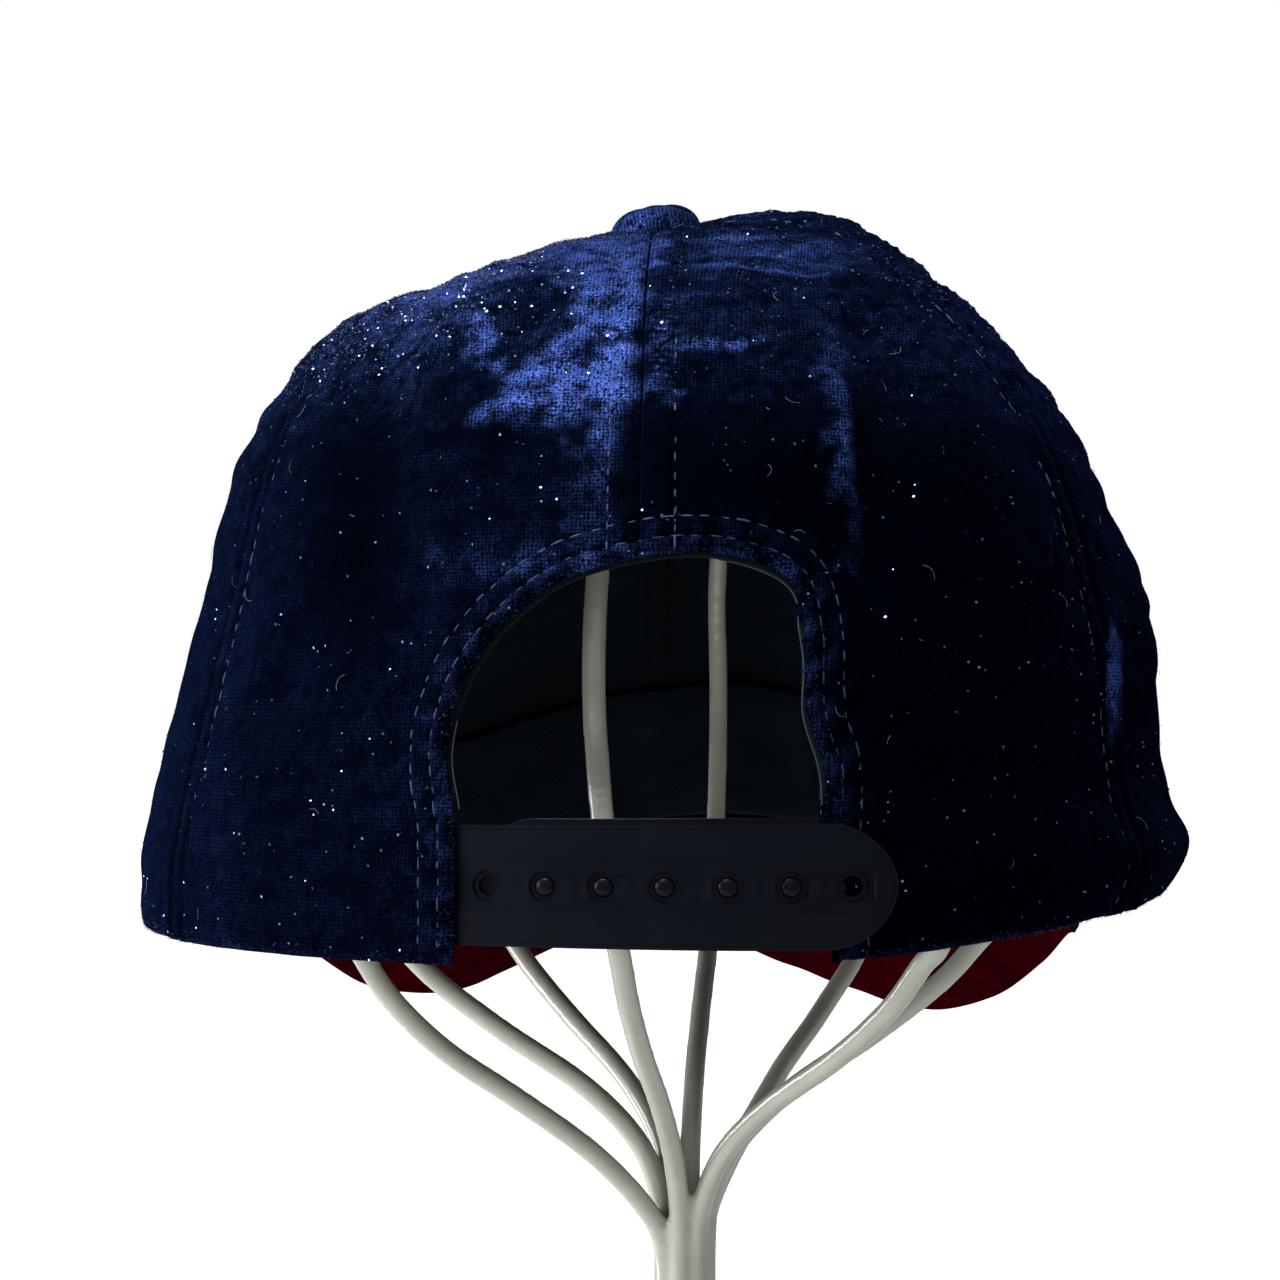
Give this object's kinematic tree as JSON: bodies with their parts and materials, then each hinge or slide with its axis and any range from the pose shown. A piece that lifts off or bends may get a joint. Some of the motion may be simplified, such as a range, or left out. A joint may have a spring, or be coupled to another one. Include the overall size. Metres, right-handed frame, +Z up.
{
  "type": "velvet snapback cap on wire stand",
  "caption": "Navy glitter-velvet snapback cap with a burgundy velvet brim and a plastic snap strap, resting on an off-white dip-coated wire hat stand.",
  "frame": {"origin": "centre of the stand base's underside, on the floor", "axes": "+Z up the post, -Y the way the brim points, +X the wearer's left, +Y the half-moon opening and its snap straps"},
  "size_m": [0.1903, 0.2576, 0.3312],
  "materials": {
    "navy_velvet": "polyester pile velvet with fine foil glitter",
    "burgundy_velvet": "polyester pile velvet over a plastic board",
    "lining_twill": "dark woven twill tape",
    "snap_plastic": "moulded, satin",
    "dipped_steel": "off-white plastic dip coat, semi-gloss"
  },
  "bodies": {
    "root": {"panel_back_left": "navy_velvet", "panel_back_right": "navy_velvet", "panel_side_left": "navy_velvet", "panel_side_right": "navy_velvet", "panel_front_left": "navy_velvet", "panel_front_right": "navy_velvet", "button": "navy_velvet", "brim": "burgundy_velvet", "sweatband": "lining_twill", "arch_facing": "lining_twill", "strap_with_holes": "snap_plastic", "strap_with_studs": "snap_plastic", "stand_base": "dipped_steel", "stand_post": "dipped_steel", "stand_boss": "dipped_steel", "stand_wire_1": "dipped_steel", "stand_wire_2": "dipped_steel", "stand_wire_3": "dipped_steel", "stand_wire_4": "dipped_steel", "stand_wire_5": "dipped_steel", "stand_wire_6": "dipped_steel", "stand_wire_7": "dipped_steel", "stand_wire_8": "dipped_steel"}
  },
  "joints": []
}
